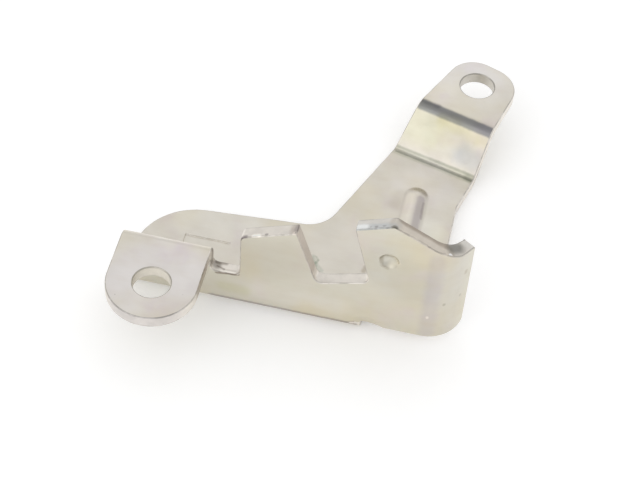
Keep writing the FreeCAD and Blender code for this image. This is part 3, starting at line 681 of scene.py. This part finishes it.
def join_flats(piece):
    """Join the triangles of each flat face that has one finish."""
    select_only(piece)
    bpy.ops.object.mode_set(mode="EDIT")
    bpy.ops.mesh.select_all(action="SELECT")
    bpy.ops.mesh.dissolve_limited(angle_limit=FLAT_ANGLE, delimit={"MATERIAL"})
    bpy.ops.object.mode_set(mode="OBJECT")


def is_corner(edge, sheet):
    """Whether an edge is a corner of a cut edge, to be rounded."""
    if not edge.is_manifold:
        return False
    kinds = {face.material_index for face in edge.link_faces}
    least = sheet.corner_angle if kinds == {CUT} else sheet.smooth_angle
    return CUT in kinds and edge.calc_face_angle(0) > least


def round_corners(piece, sheet):
    """Round every corner of the sheet's outline by a bevel, in a finish of its own."""
    select_only(piece)
    bpy.ops.object.mode_set(mode="EDIT")
    bpy.ops.mesh.select_mode(type="EDGE")
    bpy.ops.mesh.select_all(action="DESELECT")
    mesh = bmesh.from_edit_mesh(piece.data)
    for edge in mesh.edges:
        edge.select = is_corner(edge, sheet)
    bmesh.update_edit_mesh(piece.data)
    bpy.ops.mesh.bevel(offset_type="OFFSET", offset=sheet.edge_round, segments=sheet.round_segments,
                       profile=0.5, affect="EDGES", clamp_overlap=False, loop_slide=False, material=ROUND)
    bpy.ops.object.mode_set(mode="OBJECT")


def settle(piece, skin, sheared, sheet):
    """Bring back what a bevel threw too far from the sheared edges or off the sheet's skin, and
    merge what meets."""
    mesh = piece.data
    rounded = {index for face in mesh.polygons if face.material_index == ROUND for index in face.vertices}
    for index in rounded:
        vertex = mesh.vertices[index]
        place, _, _, distance = sheared.find_nearest(vertex.co)
        if distance > REACH_OF_ROUNDING * sheet.edge_round:
            vertex.co = place.lerp(vertex.co, sheet.edge_round / distance)
        place, _, _, distance = skin.find_nearest(vertex.co)
        if distance > OFF_THE_SKIN * sheet.edge_round:
            vertex.co = place
    select_only(piece)
    bpy.ops.object.mode_set(mode="EDIT")
    bpy.ops.mesh.select_all(action="SELECT")
    bpy.ops.mesh.remove_doubles(threshold=MERGED_ROUNDING)
    bpy.ops.object.mode_set(mode="OBJECT")


def skin_of(mesh, kind):
    """The faces of one kind, for finding the nearest point on them."""
    corners = [vertex.co.copy() for vertex in mesh.verts]
    return BVHTree.FromPolygons(corners, [[vertex.index for vertex in face.verts]
                                          for face in mesh.faces if face.material_index == kind])


def note_across(piece, inner, sheet):
    """Keep how far each vertex lies across the thickness: 0 on the inner side, 1 on the outer."""
    depths = [inner.find_nearest(vertex.co)[3] for vertex in piece.data.vertices]
    values = [min(depth / sheet.thickness, 1.0) for depth in depths]
    across = piece.data.attributes.new("across", "FLOAT", "POINT")
    across.data.foreach_set("value", values)


class BRACKET_OT_sheet(bpy.types.Operator):
    """Dress the folded sheet: rounded corners, two plated sides and sheared edges"""
    bl_idname = "bracket.sheet"
    bl_label = "Plated sheet"

    def execute(self, context):
        sheet, finish = context.scene.bracket_sheet, context.scene.bracket_finish
        piece = copy_of_node("plated_sheet")
        for material in plating(finish):
            piece.data.materials.append(material)
        mesh = bmesh.new()
        mesh.from_mesh(piece.data)
        sort_faces(mesh, sheet)
        mesh.to_mesh(piece.data)
        skin, inner, sheared = BVHTree.FromBMesh(mesh), skin_of(mesh, INNER), skin_of(mesh, CUT)
        mesh.free()
        join_flats(piece)
        round_corners(piece, sheet)
        settle(piece, skin, sheared, sheet)
        note_across(piece, inner, sheet)
        select_only(piece)
        bpy.ops.object.shade_smooth_by_angle(angle=HARD_ANGLE)
        weighted = piece.modifiers.new("Even shading", "WEIGHTED_NORMAL")
        weighted.keep_sharp = True
        weighted.weight = FACE_WEIGHT
        bpy.ops.object.modifier_apply(modifier=weighted.name)
        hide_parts(NODE)
        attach(piece, "root")
        return {"FINISHED"}


def floor_material():
    """White floor that keeps the bracket's shadow."""
    material = bpy.data.materials.new("Studio floor")
    material.use_nodes = True
    tree = material.node_tree
    shader = tree.nodes["Principled BSDF"]
    shader.inputs["Base Color"].default_value = FLOOR_COLOUR
    shader.inputs["Roughness"].default_value = FLOOR_ROUGHNESS
    shader.inputs["Specular IOR Level"].default_value = 0.0
    glow = add_node(tree, "ShaderNodeEmission")
    glow.inputs["Color"].default_value = WHITE
    glow.inputs["Strength"].default_value = FLOOR_GLOW
    both = add_node(tree, "ShaderNodeAddShader")
    tree.links.new(shader.outputs[0], both.inputs[0])
    tree.links.new(glow.outputs[0], both.inputs[1])
    tree.links.new(both.outputs[0], tree.nodes["Material Output"].inputs["Surface"])
    return material


def add_floor(stage):
    """Square floor that the plate lies on."""
    bpy.ops.object.select_all(action="DESELECT")
    bpy.ops.mesh.primitive_plane_add(size=stage.floor_size, location=(0, 0, LOW.z))
    floor = bpy.context.active_object
    floor.name = "studio_floor"
    floor.data.materials.append(floor_material())


def light_world(stage):
    """White all round, with a darker patch overhead that only reflections see."""
    world = bpy.data.worlds.new("Studio")
    bpy.context.scene.world = world
    world.use_nodes = True
    tree = world.node_tree
    tree.nodes.clear()
    place = add_node(tree, "ShaderNodeTexCoord").outputs["Generated"]
    axes = add_node(tree, "ShaderNodeSeparateXYZ")
    tree.links.new(place, axes.inputs[0])
    shade = ramp(tree, axes.outputs["Z"], PATCH_STARTS, PATCH_FULL, stage.mirrored, stage.overhead)
    path = add_node(tree, "ShaderNodeLightPath")
    seen = maths(tree, "MAXIMUM", path.outputs["Is Camera Ray"], path.outputs["Is Transmission Ray"])
    mirrored = path.outputs["Is Glossy Ray"]
    level = mixed_numbers(tree, mirrored, stage.ambient, shade)
    level = mixed_numbers(tree, seen, level, 1.0)
    background = add_node(tree, "ShaderNodeBackground")
    background.inputs["Color"].default_value = WHITE
    tree.links.new(level, background.inputs["Strength"])
    output = add_node(tree, "ShaderNodeOutputWorld")
    tree.links.new(background.outputs[0], output.inputs["Surface"])


def add_lamp(name, place, aim, size, power):
    """Large soft lamp turned to a point."""
    bpy.ops.object.light_add(type="AREA", location=place)
    lamp = bpy.context.active_object
    lamp.name = name
    lamp.data.shape = "DISK"
    lamp.data.size = size
    lamp.data.energy = power
    lamp.rotation_euler = (place - aim).to_track_quat("Z", "Y").to_euler()


def camera_turn(stage):
    """The camera's axes from its azimuth, elevation and roll."""
    back = Vector((
        math.sin(stage.azimuth) * math.cos(stage.elevation),
        -math.cos(stage.azimuth) * math.cos(stage.elevation),
        math.sin(stage.elevation),
    ))
    level = (-back).cross(UP).normalized()
    lift = level.cross(-back)
    right = math.cos(stage.roll) * level + math.sin(stage.roll) * lift
    up = -math.sin(stage.roll) * level + math.cos(stage.roll) * lift
    return Matrix((right, up, back)).transposed()


def add_camera(stage):
    """Camera where the photograph was taken from."""
    camera = bpy.data.cameras.new("Camera")
    camera.lens = stage.lens
    camera.sensor_width = SENSOR_WIDTH
    camera.sensor_fit = "HORIZONTAL"
    holder = bpy.data.objects.new("Camera", camera)
    bpy.context.scene.collection.objects.link(holder)
    holder.matrix_world = Matrix.Translation(Vector(stage.eye)) @ camera_turn(stage).to_4x4()
    bpy.context.scene.camera = holder


class BRACKET_OT_stage(bpy.types.Operator):
    """Set up the floor, the soft light and the camera"""
    bl_idname = "bracket.stage"
    bl_label = "Studio stage"

    def execute(self, context):
        stage = context.scene.bracket_stage
        middle = (LOW + HIGH) / 2
        add_floor(stage)
        light_world(stage)
        add_lamp("key_lamp", middle + KEY_PLACE, middle, KEY_SIZE, stage.key)
        add_lamp("back_lamp", middle + BACK_PLACE, middle, BACK_SIZE, stage.back)
        add_camera(stage)
        context.scene.view_settings.view_transform = "Standard"
        return {"FINISHED"}


class BRACKET_PT_panel(bpy.types.Panel):
    """Settings and steps of the bracket"""
    bl_idname = "BRACKET_PT_panel"
    bl_label = "Cable bracket"
    bl_space_type = "VIEW_3D"
    bl_region_type = "UI"
    bl_category = "Bracket"

    def draw(self, context):
        for group, operator in ((context.scene.bracket_sheet, None),
                                (context.scene.bracket_finish, BRACKET_OT_sheet),
                                (context.scene.bracket_stage, BRACKET_OT_stage)):
            box = self.layout.box()
            for name in group.__annotations__:
                box.prop(group, name)
            if operator:
                box.operator(operator.bl_idname)


CLASSES = (BracketSheet, BracketFinish, BracketStage, BRACKET_OT_sheet, BRACKET_OT_stage, BRACKET_PT_panel)


def register():
    """Add the classes and the scene's settings."""
    for entry in CLASSES:
        bpy.utils.register_class(entry)
    bpy.types.Scene.bracket_sheet = PointerProperty(type=BracketSheet)
    bpy.types.Scene.bracket_finish = PointerProperty(type=BracketFinish)
    bpy.types.Scene.bracket_stage = PointerProperty(type=BracketStage)


def unregister():
    """Take the settings and the classes away again."""
    del bpy.types.Scene.bracket_stage
    del bpy.types.Scene.bracket_finish
    del bpy.types.Scene.bracket_sheet
    for entry in reversed(CLASSES):
        bpy.utils.unregister_class(entry)


def main():
    """Build everything in order."""
    register()
    bpy.ops.bracket.stage()
    bpy.ops.bracket.sheet()


if __name__ == "__main__":
    main()
